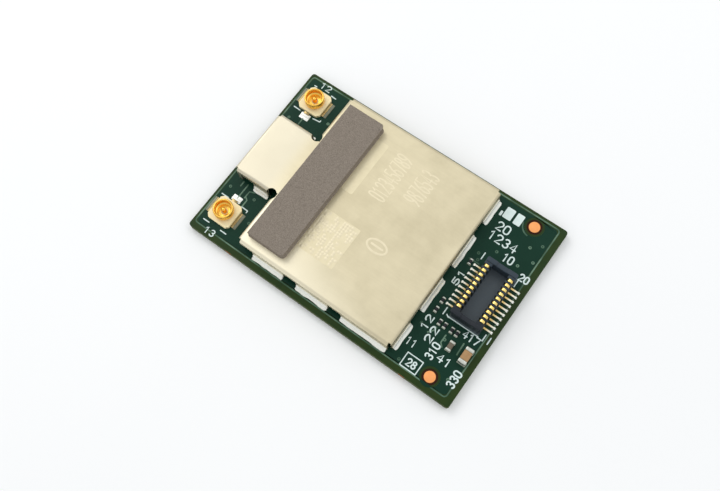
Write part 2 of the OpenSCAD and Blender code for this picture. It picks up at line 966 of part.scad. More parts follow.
module antenna_filters() {
    color(ivory)
        for (side = [-1, 1])
            on_board(tongue_mid_x, tongue_offset_y + side * filter_pitch / 2)
                standing_box(filter_l, filter_w, filter_h);
}

circuit_board();
fiducial_marks();
shield_can();
shield_solder();
foam_strip();
far_socket_base();
far_socket_shell();
far_socket_pin();
near_socket_base();
near_socket_shell();
near_socket_pin();
socket_solder();
connector_housing();
contacts_inboard();
contacts_outboard();
connector_solder();
large_capacitor();
large_capacitor_ends();
supply_resistor();
supply_resistor_ends();
signal_resistors();
signal_resistor_ends();
radio_chip();
memory_chip();
front_end_chips();
reference_crystal();
crystal_lid();
power_regulator();
power_inductor();
antenna_filters();
filter_capacitors();
filter_capacitor_ends();
bias_resistors();
bias_resistor_ends();
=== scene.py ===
"""Looks of a wireless network module: a small green circuit board that carries a folded
shield can with a foam strip on it, two coaxial antenna sockets and a board connector.
Sizes are written in millimetres and made metres by MM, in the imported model's own frame."""
import math
import random

import bmesh
import bpy
from mathutils import Matrix, Quaternion, Vector, noise


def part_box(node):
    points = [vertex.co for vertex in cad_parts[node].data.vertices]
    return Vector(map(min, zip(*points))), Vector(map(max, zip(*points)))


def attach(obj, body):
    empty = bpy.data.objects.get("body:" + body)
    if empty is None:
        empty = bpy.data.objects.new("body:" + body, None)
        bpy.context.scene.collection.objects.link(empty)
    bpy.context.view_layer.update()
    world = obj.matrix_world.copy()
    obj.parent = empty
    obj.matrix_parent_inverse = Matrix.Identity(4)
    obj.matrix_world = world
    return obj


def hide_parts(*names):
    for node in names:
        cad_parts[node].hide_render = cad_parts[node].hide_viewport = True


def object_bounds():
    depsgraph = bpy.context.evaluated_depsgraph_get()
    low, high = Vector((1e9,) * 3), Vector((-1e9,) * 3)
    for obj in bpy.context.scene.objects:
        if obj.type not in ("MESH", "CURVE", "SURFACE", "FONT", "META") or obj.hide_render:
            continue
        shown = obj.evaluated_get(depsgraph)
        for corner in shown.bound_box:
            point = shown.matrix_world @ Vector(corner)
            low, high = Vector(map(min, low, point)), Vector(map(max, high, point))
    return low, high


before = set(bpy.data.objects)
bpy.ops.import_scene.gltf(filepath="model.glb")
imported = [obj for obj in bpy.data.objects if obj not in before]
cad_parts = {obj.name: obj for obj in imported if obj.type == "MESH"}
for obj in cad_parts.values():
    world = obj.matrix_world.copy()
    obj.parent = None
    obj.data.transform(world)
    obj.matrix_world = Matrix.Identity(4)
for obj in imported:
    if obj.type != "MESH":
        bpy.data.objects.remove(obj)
cad_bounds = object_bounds()
MM = 0.001


# ---- Camera, table top and light ----
# The module lies on a white table in a bright, soft room. The camera looks steeply down on
# it from beyond its near long edge, with the coaxial sockets at the left.

camera_place = Vector((17.073, -19.397, 71.553)) * MM
camera_target = Vector((-0.176, -2.26, 0.8)) * MM
camera_roll = math.radians(-9.53)

camera_data = bpy.data.cameras.new("camera")
camera_data.lens = 39.76
camera_data.clip_start = 1 * MM
camera_data.clip_end = 10
camera = bpy.data.objects.new("camera", camera_data)
camera.rotation_mode = "QUATERNION"
camera.location = camera_place
aim = (camera_target - camera_place).to_track_quat("-Z", "Y")
camera.rotation_quaternion = aim @ Quaternion((0, 0, 1), camera_roll)
bpy.context.scene.collection.objects.link(camera)
bpy.context.scene.camera = camera
bpy.context.scene.view_settings.view_transform = "Standard"


def srgb(red, green, blue):
    """A colour as a paint chart gives it, 0 to 255, in the linear light that shaders use."""
    return tuple(((c / 255 + 0.055) / 1.055) ** 2.4 if c > 10 else c / 3295
                 for c in (red, green, blue)) + (1.0,)


class Signal:
    """A shader value that Python's operators work on: each one adds its Math node."""

    def __init__(self, finish, socket):
        self.finish = finish
        self.socket = socket

    def math(self, operation, first, second):
        return self.finish.node("ShaderNodeMath", {"operation": operation}, {0: first, 1: second})

    def __add__(self, other):
        return self.math("ADD", self, other)

    def __radd__(self, other):
        return self.math("ADD", other, self)

    def __sub__(self, other):
        return self.math("SUBTRACT", self, other)

    def __rsub__(self, other):
        return self.math("SUBTRACT", other, self)

    def __mul__(self, other):
        return self.math("MULTIPLY", self, other)

    def __rmul__(self, other):
        return self.math("MULTIPLY", other, self)


class Finish:
    """One material: a Principled shader whose inputs vary with the place on the piece."""

    def __init__(self, name, constants):
        self.material = bpy.data.materials.new(name)
        self.material.use_nodes = True
        self.tree = self.material.node_tree
        self.shader = self.tree.nodes["Principled BSDF"]
        for socket, value in constants.items():
            self.shader.inputs[socket].default_value = value
        metres = self.node("ShaderNodeTexCoord", {}, {}, "Object")
        self.place = self.node("ShaderNodeVectorMath", {"operation": "SCALE"},
                               {0: metres, "Scale": 1 / MM})

    def node(self, kind, settings, sockets, output=0):
        made = self.tree.nodes.new(kind)
        for name, value in settings.items():
            if name == "stops":
                ramp = made.color_ramp
                for position, colour in value[2:]:
                    ramp.elements.new(position)
                for element, (position, colour) in zip(ramp.elements, value):
                    element.position = position
                    element.color = colour
            else:
                setattr(made, name, value)
        for key, value in sockets.items():
            if isinstance(value, Signal):
                self.tree.links.new(value.socket, made.inputs[key])
            else:
                made.inputs[key].default_value = value
        return Signal(self, made.outputs[output])

    def along(self, axis):
        """The place along one axis, in millimetres."""
        return self.node("ShaderNodeSeparateXYZ", {}, {0: self.place}, axis)

    def stretched(self, x, y, z):
        """The place with each axis scaled, so that a pattern runs longer or shorter along it."""
        return self.node("ShaderNodeVectorMath", {"operation": "MULTIPLY"},
                         {0: self.place, 1: (x, y, z)})

    def clouds(self, per_mm, detail=3, rough=0.55, place=None):
        """Soft random patches, from 0 to 1, with so many of them to a millimetre."""
        return self.node("ShaderNodeTexNoise", {},
                         {"Vector": place or self.place, "Scale": per_mm, "Detail": detail,
                          "Roughness": rough})

    def cells(self, per_mm, feature="F1", place=None):
        return self.node("ShaderNodeTexVoronoi", {"feature": feature},
                         {"Vector": place or self.place, "Scale": per_mm}, "Distance")

    def step(self, value, low, high):
        """0 below low and 1 above high, with a smooth rise between them."""
        return self.node("ShaderNodeMapRange", {"interpolation_type": "SMOOTHSTEP"},
                         {"Value": value, "From Min": low, "From Max": high})

    def mix(self, share, colour, other):
        return self.node("ShaderNodeMix", {"data_type": "RGBA"}, {0: share, 6: colour, 7: other}, 2)

    def vary(self, socket, signal):
        self.tree.links.new(signal.socket, self.shader.inputs[socket])

    def relief(self, height, depth):
        """Raises the surface by the height signal, at most depth millimetres."""
        bump = self.node("ShaderNodeBump", {}, {"Height": height, "Distance": depth * MM})
        self.vary("Normal", bump)


table_finish = Finish("table_white", {"Roughness": 0.6, "Specular IOR Level": 0.2})
table_finish.vary("Base Color", table_finish.mix(table_finish.clouds(0.02, 2),
                                                 srgb(248, 248, 248), srgb(252, 252, 251)))
table = bmesh.new()
bmesh.ops.create_grid(table, x_segments=1, y_segments=1, size=1.5)
table_data = bpy.data.meshes.new("table_top")
table.to_mesh(table_data)
table.free()
table_data.materials.append(table_finish.material)
table_top = bpy.data.objects.new("table_top", table_data)
bpy.context.scene.collection.objects.link(table_top)

room = bpy.data.worlds.new("room")
room.use_nodes = True
room.node_tree.nodes["Background"].inputs["Color"].default_value = (0.96, 0.98, 1.0, 1)
room.node_tree.nodes["Background"].inputs["Strength"].default_value = 0.82
bpy.context.scene.world = room


def soft_light(name, place, target, side, watts, colour):
    """A square soft box of that side, at a place and facing a target, in millimetres."""
    data = bpy.data.lights.new(name, "AREA")
    data.shape = "SQUARE"
    data.size = side * MM
    data.energy = watts
    data.color = colour
    lamp = bpy.data.objects.new(name, data)
    lamp.location = Vector(place) * MM
    lamp.rotation_mode = "QUATERNION"
    lamp.rotation_quaternion = (Vector(target) - Vector(place)).to_track_quat("-Z", "Y")
    bpy.context.scene.collection.objects.link(lamp)


soft_light("key_light", (-190, 60, 200), (-4, 0, 0), 150, 0.19, (1.0, 0.99, 0.97))
soft_light("fill_light", (80, 150, 240), (0, 0, 0), 200, 0.09, (0.97, 0.99, 1.0))


# ---- Circuit board ----
# Glass-fibre laminate with copper on both faces, under a printed green solder mask. The
# copper plane under the mask stands a little higher and looks darker than the bare laminate
# round it, and its rim shows as a paler line, partly the thinner mask over the plane's edge and
# partly a painted highlight of the mask's slope. The edges are routed, so the laminate shows.

def cad_copy(node):
    """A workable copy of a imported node: corners merged and flat faces made whole."""
    mesh = bmesh.new()
    mesh.from_mesh(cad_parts[node].data)
    bmesh.ops.remove_doubles(mesh, verts=mesh.verts, dist=0.0005 * MM)
    bmesh.ops.dissolve_limit(mesh, angle_limit=math.radians(0.5),
                             verts=mesh.verts, edges=mesh.edges)
    return mesh


def sharp_edges(mesh, degrees=25):
    return [edge for edge in mesh.edges
            if edge.is_manifold and edge.calc_face_angle() > math.radians(degrees)]


def soften(mesh, radius, segments=2, edges=None):
    """Rounds the sharp edges by a radius in millimetres."""
    bmesh.ops.bevel(mesh, geom=sharp_edges(mesh) if edges is None else edges,
                    offset=radius * MM, segments=segments, profile=0.5, affect="EDGES",
                    material=-1, clamp_overlap=True)
    return mesh


def add_piece(name, mesh, finish, slot, replaced=()):
    """Makes a worked mesh a piece of the module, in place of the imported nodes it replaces."""
    data = bpy.data.meshes.new(name)
    mesh.to_mesh(data)
    mesh.free()
    data.shade_smooth()
    data.set_sharp_from_angle(angle=math.radians(40))
    data.materials.append(finish.material)
    piece = bpy.data.objects.new(name, data)
    bpy.context.scene.collection.objects.link(piece)
    piece.modifiers.new("even_normals", "WEIGHTED_NORMAL").keep_sharp = True
    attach(piece, "root")
    if replaced:
        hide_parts(*replaced)
    return piece


def sheet_with_holes(x0, x1, y0, y1, corner, holes, z0, z1, rim):
    """A thin plate in millimetres with rounded corners, round holes and eased rims."""
    mesh = bmesh.new()
    bmesh.ops.create_grid(mesh, x_segments=1, y_segments=1, size=0.5)
    bmesh.ops.scale(mesh, verts=mesh.verts, vec=(x1 - x0, y1 - y0, 1))
    bmesh.ops.translate(mesh, verts=mesh.verts, vec=((x0 + x1) / 2, (y0 + y1) / 2, z0))
    bmesh.ops.bevel(mesh, geom=mesh.verts[:], offset=corner, segments=5, profile=0.5,
                    affect="VERTICES", material=-1)
    if holes:
        bmesh.ops.delete(mesh, geom=mesh.faces[:], context="FACES_ONLY")
        for x, y, radius in holes:
            made = bmesh.ops.create_circle(mesh, segments=48, radius=radius)
            bmesh.ops.translate(mesh, verts=made["verts"], vec=(x, y, z0))
        bmesh.ops.triangle_fill(mesh, edges=mesh.edges[:], use_beauty=True)
        bmesh.ops.dissolve_limit(mesh, angle_limit=0.01, verts=mesh.verts, edges=mesh.edges)
    raised = bmesh.ops.extrude_face_region(mesh, geom=mesh.faces[:])
    lifted = [each for each in raised["geom"] if isinstance(each, bmesh.types.BMVert)]
    bmesh.ops.translate(mesh, verts=lifted, vec=(0, 0, z1 - z0))
    bmesh.ops.recalc_face_normals(mesh, faces=mesh.faces)
    top_rim = [edge for edge in sharp_edges(mesh)
               if all(abs(vert.co.z - z1) < 1e-6 for vert in edge.verts)]
    bmesh.ops.bevel(mesh, geom=top_rim, offset=rim, segments=2, profile=0.5,
                    affect="EDGES", material=-1, clamp_overlap=True)
    bmesh.ops.scale(mesh, verts=mesh.verts, vec=(MM, MM, MM))
    return mesh


BOARD_TOP = 0.8
FIDUCIALS = [(12.15, 8.62), (12.15, -8.62)]
UNDERSIDE_RECESS = 0.03

laminate = Finish("laminate_and_mask", {"Specular IOR Level": 0.15})
height = laminate.along("Z")
weave = laminate.clouds(7, 2, 0.5, laminate.stretched(0.35, 0.35, 2.5))
glass = laminate.mix(laminate.step(weave, 0.35, 0.65), srgb(50, 66, 34), srgb(98, 104, 66))
varnish = laminate.mix(laminate.clouds(6), srgb(62, 30, 14), srgb(38, 20, 12))
bare_mask = laminate.mix(laminate.clouds(0.7, 4), srgb(20, 48, 20), srgb(50, 66, 20))
edge_colour = laminate.mix(laminate.step(height, 0.735, 0.745), glass, varnish)
covered = laminate.step(height, 0.772, 0.778) + laminate.step(height, 0.04, 0.03)
for spot_x in (-10.1, 10.0):
    near_spot = laminate.node("ShaderNodeVectorMath", {"operation": "DISTANCE"},
                              {0: laminate.place, 1: (spot_x, -10, 0.6)}, "Value")
    worn = laminate.step(near_spot + 0.3 * laminate.clouds(5), 0.62, 0.4)
    edge_colour = laminate.mix(worn, edge_colour, srgb(150, 88, 48))
laminate.vary("Base Color", laminate.mix(covered, edge_colour, bare_mask))
laminate.vary("Roughness", 0.3 + 0.45 * (1 - covered))
laminate.relief(0.6 * laminate.clouds(2.2, 2) + weave * (1 - covered), 0.012)

board = cad_copy("circuit_board")
underside = [face for face in board.faces if face.normal.z < -0.99]
bmesh.ops.inset_region(board, faces=underside, thickness=0.35 * MM, use_even_offset=True)
bmesh.ops.translate(board, verts=list({vert for face in underside for vert in face.verts}),
                    vec=(0, 0, UNDERSIDE_RECESS * MM))
soften(board, 0.02)
add_piece("laminate_board", board, laminate, "mask", ["circuit_board"])

plane_mask = Finish("mask_over_copper", {"Specular IOR Level": 0.12})
blotches = plane_mask.clouds(0.35, 4, 0.6)
plane_mask.vary("Base Color", plane_mask.mix(blotches, srgb(6, 46, 32), srgb(22, 58, 44)))
plane_mask.vary("Roughness", 0.26 + 0.16 * plane_mask.clouds(1.3, 3))
plane_mask.relief(plane_mask.clouds(3.5, 2) + 0.35 * plane_mask.clouds(26, 1), 0.012)

PLANE_TOP = BOARD_TOP + 0.022
top_holes = [(x, y, 0.96) for x, y in FIDUCIALS]
add_piece("top_copper_plane", sheet_with_holes(-14.58, 14.2, -9.24, 9.52, 0.35, top_holes,
                                               BOARD_TOP - 0.03, PLANE_TOP, 0.03),
          plane_mask, "mask")

pad_places = [(x, y) for x in (-10.8, -5.4, 0, 5.4, 10.8) for y in (-6.2, 6.2)]
bottom_holes = [(x, y, 0.75) for x, y in pad_places]
bottom_plane = sheet_with_holes(-14.2, 14.2, -9.2, 9.2, 0.5, bottom_holes, -0.06, -0.004, 0.03)
bmesh.ops.scale(bottom_plane, verts=bottom_plane.verts, vec=(1, 1, -1))
bmesh.ops.reverse_faces(bottom_plane, faces=bottom_plane.faces)
add_piece("bottom_copper_plane", bottom_plane, plane_mask, "mask")

gold_flash = Finish("gold_flash_pads", {"Metallic": 1.0})
gold_flash.vary("Base Color", gold_flash.mix(gold_flash.clouds(3), srgb(222, 186, 104),
                                             srgb(236, 206, 132)))
gold_flash.vary("Roughness", 0.28 + 0.2 * gold_flash.clouds(9))
pads = bmesh.new()
for x, y in pad_places:
    bmesh.ops.create_cone(pads, cap_ends=True, segments=40, radius1=0.5 * MM, radius2=0.5 * MM,
                          depth=0.04 * MM,
                          matrix=Matrix.Translation(Vector((x, y, 0.028)) * MM))
add_piece("test_pads", soften(pads, 0.008), gold_flash, "gold_plate")


def rounded_lines(name, lines, width, thickness, z):
    """Printed or plated lines with rounded ends, as one flat domed mesh in millimetres.
    Each line is a list of points, and is closed when it ends where it starts."""
    curve = bpy.data.curves.new(name, "CURVE")
    curve.dimensions = "3D"
    curve.bevel_depth = 0.5
    curve.bevel_resolution = 2
    curve.use_fill_caps = True
    for line in lines:
        points = [Vector(point).to_3d() for point in line]
        closed = (points[0] - points[-1]).length < 1e-6
        if closed:
            points.pop()
            rounded = [(point, 1.0) for point in points]
        else:
            start = (points[0] - points[1]).normalized() * width / 2
            end = (points[-1] - points[-2]).normalized() * width / 2
            cap = [(math.cos(angle), math.sin(angle)) for angle in (0.2, 0.6, 1.1)]
            rounded = [(points[0] + start * reach, radius) for reach, radius in cap]
            rounded += [(point, 1.0) for point in points]
            rounded += [(points[-1] + end * reach, radius) for reach, radius in cap[::-1]]
        spline = curve.splines.new("POLY")
        spline.points.add(len(rounded) - 1)
        spline.use_cyclic_u = closed
        for made, (point, radius) in zip(spline.points, rounded):
            made.co = (*point, 1)
            made.radius = radius * width
    drawn = bpy.data.objects.new(name, curve)
    mesh = bmesh.new()
    shape = drawn.to_mesh()
    mesh.from_mesh(shape)
    drawn.to_mesh_clear()
    bpy.data.objects.remove(drawn)
    bmesh.ops.scale(mesh, verts=mesh.verts, vec=(1, 1, 2 * thickness / width))
    bmesh.ops.translate(mesh, verts=mesh.verts, vec=(0, 0, z))
    bmesh.ops.scale(mesh, verts=mesh.verts, vec=(MM, MM, MM))
    bmesh.ops.recalc_face_normals(mesh, faces=mesh.faces)
    return mesh


def arc(x, y, radius, start, end, steps=12):
    """Points on an arc, from one angle to another in degrees."""
    return [(x + radius * math.cos(math.radians(start + (end - start) * i / steps)),
             y + radius * math.sin(math.radians(start + (end - start) * i / steps)))
            for i in range(steps + 1)]


def join(mesh, other):
    """Adds another worked mesh to this one."""
    data = bpy.data.meshes.new("joined")
    other.to_mesh(data)
    other.free()
    mesh.from_mesh(data)
    bpy.data.meshes.remove(data)
    return mesh


thin_mask = Finish("mask_over_traces", {"Specular IOR Level": 0.35})
thin_mask.vary("Base Color", thin_mask.mix(thin_mask.step(thin_mask.clouds(0.5, 3), 0.35, 0.65),
                                           srgb(54, 88, 66), srgb(104, 134, 112)))
thin_mask.vary("Roughness", 0.3 + 0.15 * thin_mask.clouds(4))

# The paler line round the plane's rim: thinner mask over its edge, and partly a painted highlight of the
# mask's slope.
rim_line_and_highlight = [(-14.7, -8.96),
            *arc(-14.4, -9.06, 0.3, 180, 270, 5), *arc(14.0, -9.06, 0.3, -90, 0, 5),
            *arc(14.0, 9.36, 0.3, 0, 90, 5), *arc(-14.4, 9.36, 0.3, 90, 180, 5),
            (-14.7, -8.96)]
traces = rounded_lines("traces", [rim_line_and_highlight], 0.13, 0.02, BOARD_TOP)
signal_traces = [
    [(-12.75, -5.2), (-12.75, -3.5)], [(-13.3, -4.0), (-13.3, -3.5)],
    [(-12.2, -4.75), (-12.2, -4.0), (-11.7, -3.8)], [(-11.85, -5.6), (-11.85, -4.85), (-12.2, -4.6)],
    [(-12.75, 5.3), (-12.75, 4.2)], arc(12.15, 8.62, 1.12, 190, 262),
    [(10.1, -4.6), (10.1, -4.9), (9.7, -5.4)], [(12.95, -4.4), (13.0, -5.6)],
    [(8.9, 2.6), (9.9, 2.6)], [(11.2, -4.7), (11.2, -5.5), (11.5, -5.8)],
]
join(traces, rounded_lines("signal_traces", signal_traces, 0.14, 0.016, PLANE_TOP))
via_places = [(12.9, 6.65), (13.9, 5.55), (10.6, 4.55), (12.9, 4.5), (9.6, 2.9), (9.3, 3.5),
              (-14.0, 4.6), (-11.3, -4.4), (8.75, -5.0), (11.35, -5.1), (13.8, 7.4),
              (13.6, -7.9), (9.0, -8.9), (-14.1, -4.6), (-10.2, -6.6), (-10.3, 6.2)]
for x, y in via_places:
    join(traces, rounded_lines("via", [arc(x, y, 0.11, 0, 360)], 0.1, 0.014, PLANE_TOP))
add_piece("traces_and_vias", traces, thin_mask, "mask")


# ---- Fiducial marks ----
# Bare copper discs, clear of the mask, that a placing machine finds by camera. They are
# dull pinkish copper, etched with the board, with a faint patchy tarnish.

copper = Finish("bare_copper", {"Metallic": 0.35, "Specular IOR Level": 0.4})
tarnish = copper.clouds(2.4, 3)
copper.vary("Base Color", copper.mix(tarnish, srgb(255, 178, 112), srgb(246, 158, 88)))
copper.vary("Roughness", 0.42 + 0.2 * copper.clouds(7))
copper.relief(copper.clouds(22, 2), 0.006)
discs = cad_copy("fiducial_marks")
add_piece("copper_discs", soften(discs, 0.012), copper, "copper", ["fiducial_marks"])


# ---- Printed marks ----
# White epoxy ink, screened over the mask in rounded strokes: outlines and first-contact
# ticks round the sockets and the connector, and plain numbers beside the parts.

DIGIT_STROKES = {
    "0": [[*arc(0.5, 1.25, 0.5, 0, 180, 8), *arc(0.5, 0.5, 0.5, 180, 360, 8), (1.0, 1.25)]],
    "1": [[(0.2, 1.4), (0.55, 1.75), (0.55, 0)]],
    "2": [[*arc(0.5, 1.25, 0.5, 165, -20, 8), (0, 0), (1.0, 0)]],
    "3": [[*arc(0.5, 1.32, 0.43, 150, -80, 8)], [*arc(0.5, 0.45, 0.46, 85, -150, 8)]],
    "4": [[(0.75, 0), (0.75, 1.75), (0, 0.55), (1.0, 0.55)]],
    "5": [[(0.95, 1.75), (0.12, 1.75), (0.05, 0.95), *arc(0.48, 0.52, 0.52, 100, -150, 9)]],
    "6": [[(0.85, 1.7), (0.3, 1.25), *arc(0.5, 0.5, 0.5, 150, 510, 12)]],
    "7": [[(0, 1.75), (1.0, 1.75), (0.35, 0)]],
    "8": [[*arc(0.5, 1.32, 0.4, 90, 450, 12)], [*arc(0.5, 0.47, 0.48, 90, 450, 12)]],
    "9": [[(0.15, 0.05), (0.7, 0.5), *arc(0.5, 1.25, 0.5, -30, 330, 12)]],
}


def number(text, x, y, length, tall, turn=0):
    """The strokes of a plain number that starts at x, y and runs for a length."""
    pitch = length / (len(text) - 0.3)
    wide = pitch * 0.7
    turned = Matrix.Rotation(math.radians(turn), 2)
    lines = []
    for place, digit in enumerate(text):
        for stroke in DIGIT_STROKES[digit]:
            points = [turned @ Vector((place * pitch + px * wide, py * tall / 1.75))
                      for px, py in stroke]
            lines.append([(point.x + x, point.y + y) for point in points])
    return lines


def box_outline(x0, x1, y0, y1):
    return [(x0, y0), (x1, y0), (x1, y1), (x0, y1), (x0, y0)]


white_ink = Finish("white_ink", {"Specular IOR Level": 0.25})
white_ink.vary("Base Color", white_ink.mix(white_ink.clouds(3, 3), srgb(206, 226, 222),
                                           srgb(236, 246, 243)))
white_ink.vary("Roughness", 0.55 + 0.15 * white_ink.clouds(9))
white_ink.relief(white_ink.clouds(14, 3), 0.01)

INK_Z = PLANE_TOP - 0.002
heavy_print = [
    *number("20", 9.2, 6.45, 1.3, 0.85), *number("1234", 9.05, 5.3, 2.9, 0.85),
    *number("10", 11.35, 4.15, 1.0, 0.8), *number("20", 13.62, 3.42, 0.9, 0.68),
    *number("417", 12.4, -3.95, 1.6, 0.7),
    *number("12", 9.45, -5.35, 1.35, 0.66, 90), *number("22", 10.45, -6.15, 1.5, 0.68, 90),
    *number("310", 11.4, -7.35, 1.55, 0.72, 90), *number("41", 11.7, -7.05, 1.3, 0.72),
    *number("330", 14.4, -8.35, 1.55, 0.74, 90), *number("51", 9.38, -0.3, 1.5, 0.56, 90),
    box_outline(9.32, 10.98, -9.26, -7.92), *number("28", 9.72, -8.95, 0.9, 0.66),
]
heavy = rounded_lines("heavy_print", heavy_print, 0.15, 0.022, INK_Z)
light_print = [
    [(9.8, 3.15), (9.8, 3.85)], [(13.7, 2.65), (13.7, 3.4)], [(9.87, -3.2), (9.87, -2.5)],
    [(10.35, -3.15), (13.6, -3.15)], [(10.2, -3.05), (10.45, -3.2)],
    [(14.12, -3.25), (14.12, -2.6)], [(14.65, -3.25), (14.65, -2.6)],
    *number("11", 8.55, -7.35, 0.95, 0.7), *number("12", -13.5, 9.06, 1.15, 0.62),
    [(-14.0, 8.9), (-13.75, 8.9)], [(-11.9, 8.9), (-11.35, 8.86)],
    [(-14.3, 5.86), (-13.55, 5.84)], [(-11.9, 5.82), (-11.15, 5.9)], [(-11.12, 6.05), (-11.12, 5.9)],
    [(-14.1, -8.72), (-13.45, -8.72)], [(-12.0, -8.72), (-11.35, -8.72)],
    *number("13", -13.35, -9.72, 1.1, 0.62),
    [(-14.3, -5.66), (-13.5, -5.66)], [(-11.85, -5.66), (-11.12, -5.68)], [(-11.1, -5.7), (-11.1, -5.88)],
]
join(heavy, rounded_lines("light_print", light_print, 0.12, 0.02, INK_Z))
solid_marks = [(9.05, 9.95, 7.78, 8.98), (10.2, 10.95, 7.78, 8.98), (8.7, 8.95, 7.75, 8.3)]
for x0, x1, y0, y1 in solid_marks:
    join(heavy, sheet_with_holes(x0, x1, y0, y1, 0.1, [], INK_Z - 0.01, INK_Z + 0.02, 0.01))
add_piece("printed_marks", heavy, white_ink, "ivory_resin")


# ---- Shield can ----
# Tin-plated steel sheet, 0.2 mm thick, cut, folded down on all sides and soldered to the
# board by the feet between its windows. The lid is satin, clouded by handling, with frosted
# laser marks: two columns of figures, an oval and a speckled square.

can_sheet = Finish("tinned_sheet", {"Metallic": 1.0})
clouding = can_sheet.clouds(0.22, 5, 0.62)
grain = can_sheet.clouds(9, 3, 0.6)
streaks = can_sheet.clouds(2.6, 3, 0.6, can_sheet.stretched(0.15, 1.6, 1))
tone = can_sheet.mix(can_sheet.step(clouding, 0.3, 0.7), srgb(206, 195, 164), srgb(224, 213, 182))
shade = can_sheet.mix(0.35 * streaks, tone, srgb(192, 180, 148))
# Painted light: the sheet is painted paler towards the near left corner and on the tongue, where the key
# lamp's light falls on the lid.
near_side_painted_light = can_sheet.step(can_sheet.along("Y") + 0.5 * can_sheet.along("X"), -4, -12)
tongue_painted_light = can_sheet.step(can_sheet.along("X"), -9, -11)
paler = can_sheet.mix(near_side_painted_light, shade, srgb(243, 234, 208))
can_sheet.vary("Base Color", can_sheet.mix(tongue_painted_light, paler, srgb(214, 206, 184)))
can_sheet.vary("Roughness", 0.34 + 0.14 * clouding + 0.08 * grain)
can_sheet.relief(0.6 * grain + 0.5 * streaks + 0.8 * can_sheet.clouds(0.5, 2), 0.006)
shield = cad_copy("shield_can")
add_piece("folded_shield", soften(shield, 0.03), can_sheet, "sheet_metal", ["shield_can"])

LID_TOP = 2.6
frost = Finish("laser_frost", {"Metallic": 1.0})
frost.vary("Base Color", frost.mix(frost.clouds(2.5, 3), srgb(222, 211, 182), srgb(236, 226, 198)))
frost.vary("Roughness", 0.5 + 0.14 * frost.clouds(12, 2))
frost.relief(frost.clouds(18, 2), 0.004)
etched = [*number("0123456789", -0.45, 1.95, 5.0, 1.75, 90),
          *number("9876543", 2.55, 3.5, 3.4, 1.85, 90)]
marks = rounded_lines("etched_figures", etched, 0.15, 0.006, LID_TOP)
oval = [(1.6 + 1.05 * math.cos(math.radians(a)), -1.9 + 0.6 * math.sin(math.radians(a)))
        for a in range(0, 361, 15)]
join(marks, rounded_lines("etched_oval", [oval, [(1.0, -1.9), (2.2, -1.9)]], 0.2, 0.006, LID_TOP))
speckle = random.Random(7)
cell = 0.29
for column in range(14):
    for row in range(15):
        if speckle.random() < 0.5:
            x = -4.6 + column * cell
            y = -5.95 + row * cell
            join(marks, sheet_with_holes(x, x + cell, y, y + cell, 0.06, [], LID_TOP - 0.02,
                                         LID_TOP + 0.006, 0.004))
add_piece("etched_marks", marks, frost, "sheet_metal")

field_frost = Finish("lid_frost_field", {"Metallic": 1.0})
field_frost.vary("Base Color", field_frost.mix(field_frost.clouds(1.5, 4), srgb(216, 205, 172),
                                           srgb(230, 219, 188)))
field_frost.vary("Roughness", 0.42 + 0.15 * field_frost.clouds(5, 2))
field = sheet_with_holes(-4.62, -3.35, 0.9, 7.0, 0.2, [], LID_TOP - 0.02, LID_TOP + 0.003, 0.002)
join(field, sheet_with_holes(-4.64, -0.5, -6.05, -1.5, 0.1, [], LID_TOP - 0.02, LID_TOP + 0.003,
                             0.002))
add_piece("frosted_fields", field, field_frost, "sheet_metal")


# ---- Solder along the can's feet ----
# Bright reflowed solder that wicked up each foot. It is nearly even along a foot, and
# thins a little at both ends.

solder = Finish("bright_solder", {"Metallic": 0.3, "Specular IOR Level": 0.6})
solder.vary("Base Color", solder.mix(solder.clouds(2.5, 3), srgb(244, 244, 232),
                                     srgb(255, 255, 248)))
solder.vary("Roughness", 0.3 + 0.2 * solder.clouds(4, 3))
solder.relief(solder.clouds(6, 3), 0.015)


def islands(mesh):
    """The separate solids of a mesh, each as a list of its vertices."""
    left = set(mesh.verts)
    while left:
        found = [left.pop()]
        for vert in found:
            for edge in vert.link_edges:
                other = edge.other_vert(vert)
                if other in left:
                    left.remove(other)
                    found.append(other)
        yield found


def reflow(node, slice_length, unevenness):
    """A solder node cut into slices, whose thickness then wanders and fades at both ends."""
    mesh = cad_copy(node)
    can_low, can_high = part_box("shield_can")
    x0, x1 = cad_bounds[0].x, cad_bounds[1].x
    y0, y1 = cad_bounds[0].y, cad_bounds[1].y
    for axis, low, high in ((0, x0, x1), (1, y0, y1)):
        cut = low + slice_length
        while cut < high:
            normal = [0, 0, 0]
            normal[axis] = 1
            point = [0, 0, 0]
            point[axis] = cut
            bmesh.ops.bisect_plane(mesh, geom=mesh.verts[:] + mesh.edges[:] + mesh.faces[:],
                                   dist=1e-9, plane_co=point, plane_no=normal)
            cut += slice_length
    for verts in list(islands(mesh)):
        low = Vector([min(vert.co[i] for vert in verts) for i in range(3)])
        high = Vector([max(vert.co[i] for vert in verts) for i in range(3)])
        run = 0 if high.x - low.x > high.y - low.y else 1
        out = 1 - run
        middle = (can_low[out] + can_high[out]) / 2
        wall = low[out] if low[out] > middle else high[out]
        for vert in verts:
            to_end = min(vert.co[run] - low[run], high[run] - vert.co[run])
            fade = min(1.0, 0.85 + to_end / (0.2 * MM))
            wander = 1 + unevenness * noise.noise(Vector((vert.co[run], wall, 0)) / (0.7 * MM))
            lift = 1 + unevenness * noise.noise(Vector((wall, vert.co[run], 1)) / (0.5 * MM))
            vert.co[out] = wall + (vert.co[out] - wall) * min(1.1, fade * wander)
            vert.co.z = low.z + (vert.co.z - low.z) * min(1.25, fade * lift)
    return mesh


fillets = reflow("shield_solder", 0.22 * MM, 0.16)
add_piece("foot_fillets", fillets, solder, "solder", ["shield_solder"])


# ---- Foam strip ----
# A die-cut strip of grey open-cell foam, stuck on the lid. It is soft: its faces bow very
# slightly, its edges are a little crushed and its skin is full of fine cells.

foam_low, foam_high = (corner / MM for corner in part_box("foam_strip"))
FOAM_CORNER = 0.42
FOAM_EDGE = 0.13
FOAM_CELL = 0.022

